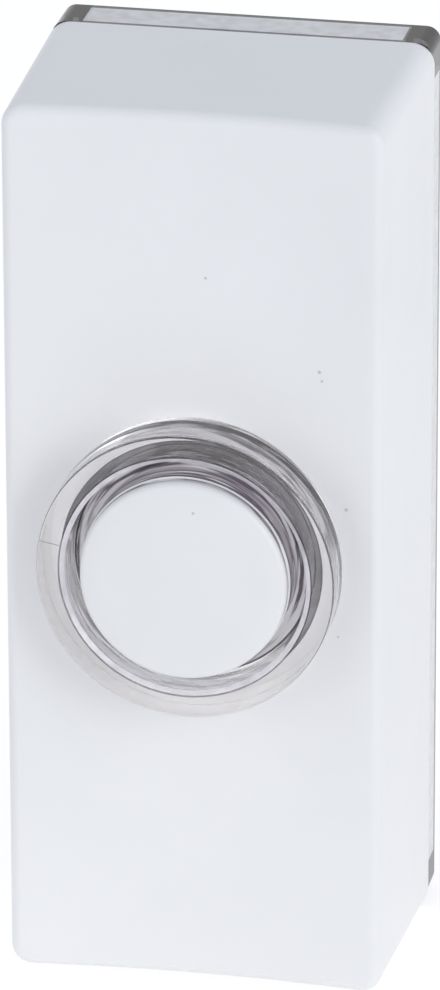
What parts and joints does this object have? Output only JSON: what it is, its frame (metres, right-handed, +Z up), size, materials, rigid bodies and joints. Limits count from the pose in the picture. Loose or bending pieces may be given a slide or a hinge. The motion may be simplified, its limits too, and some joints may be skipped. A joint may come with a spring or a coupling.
{
  "type": "doorbell push button",
  "caption": "Surface-mounted wired bell push: tapered white cover with a dished front, clear lens ring, sprung round button and a clear wall plate with a wiring well.",
  "frame": {"origin": "midway between the two wall screw holes, on the rear face of the wall plate", "axes": "+Z up along the long side, +Y into the wall, the button faces -Y"},
  "size_m": [0.0298, 0.0275, 0.0716],
  "materials": {
    "white_plastic": "moulded satin white ABS",
    "cap_plastic": "moulded white ABS, faintly glossy",
    "clear_plastic": "clear polycarbonate",
    "frame_plastic": "moulded natural white nylon",
    "board": "brown phenolic board",
    "lamp": "water-clear epoxy",
    "resistor": "tan lacquer",
    "diode": "black epoxy with a pale band",
    "brass": "bright rolled brass",
    "strip": "tin-plated brass strip",
    "silver": "silver contact alloy",
    "steel": "zinc-plated steel"
  },
  "bodies": {
    "housing": {"cover": "white_plastic", "back_plate": "clear_plastic", "lens_ring": "clear_plastic", "switch_frame": "frame_plastic", "circuit_board": "board", "led_left": "lamp", "led_right": "lamp", "resistor": "resistor", "diode": "diode", "contact_left": "strip", "contact_right": "strip", "contact_buttons": "silver", "contact_rivets": "brass", "return_spring": "steel", "terminal_screws": "steel", "wire_clamps": "steel", "frame_screws": "steel"},
    "plunger": {"button_cap": "cap_plastic", "contact_bridge": "brass", "retaining_clip": "steel"}
  },
  "joints": [
    {"name": "button_press", "type": "slide", "parent": "housing", "child": "plunger", "axis": [0, 1, 0], "range_m": [0, 0.0015], "stiffness_N_per_m": 400, "springref_m": -0.004, "deforming": ["return_spring"]}
  ]
}
